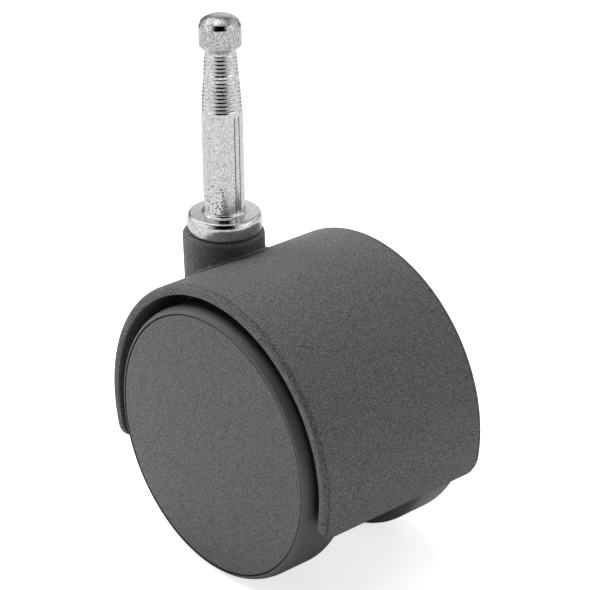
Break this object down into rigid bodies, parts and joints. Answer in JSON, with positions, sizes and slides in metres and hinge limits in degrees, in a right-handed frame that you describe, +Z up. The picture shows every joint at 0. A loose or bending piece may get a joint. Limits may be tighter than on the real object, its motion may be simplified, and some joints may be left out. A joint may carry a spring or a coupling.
{
  "type": "twin-wheel furniture caster",
  "caption": "Hooded twin-wheel swivel caster with a grip-neck push-in stem, for chair and furniture legs.",
  "frame": {"origin": "on the stem's axis, in the plane of the flange's top face where the chair leg rests", "axes": "+Z up along the stem, +Y along the wheel axle, +X from the stem towards the axle, so the caster trails with +X backwards"},
  "size_m": [0.0601, 0.0404, 0.0988],
  "materials": {
    "zinc_steel": "bright zinc plate over turned steel",
    "spring_steel": "oiled spring steel",
    "axle_steel": "drawn steel rod",
    "hood_nylon": "fine spark-eroded texture",
    "wheel_nylon": "plain moulded nylon",
    "cap_nylon": "fine spark-eroded texture",
    "tread_polymer": "smooth satin polymer",
    "bush_plastic": "natural acetal"
  },
  "bodies": {
    "stem": {"stem": "zinc_steel", "stem_clip": "spring_steel"},
    "hood": {"hood": "hood_nylon", "stem_sleeve": "bush_plastic", "swivel_washer": "spring_steel", "axle": "axle_steel", "right_hub_washer": "bush_plastic", "left_hub_washer": "bush_plastic", "right_push_nut": "spring_steel", "left_push_nut": "spring_steel"},
    "right_wheel": {"right_wheel_core": "wheel_nylon", "right_wheel_tread": "tread_polymer", "right_wheel_cap": "cap_nylon"},
    "left_wheel": {"left_wheel_core": "wheel_nylon", "left_wheel_tread": "tread_polymer", "left_wheel_cap": "cap_nylon"}
  },
  "joints": [
    {"name": "swivel", "type": "hinge", "parent": "stem", "child": "hood", "pos_m": [0, 0, -0.015], "axis": [0, 0, 1], "continuous": true},
    {"name": "right_wheel_spin", "type": "hinge", "parent": "hood", "child": "right_wheel", "pos_m": [0.0187, -0.0142, -0.0344], "axis": [0, 1, 0], "continuous": true},
    {"name": "left_wheel_spin", "type": "hinge", "parent": "hood", "child": "left_wheel", "pos_m": [0.0187, 0.0142, -0.0344], "axis": [0, 1, 0], "continuous": true}
  ]
}
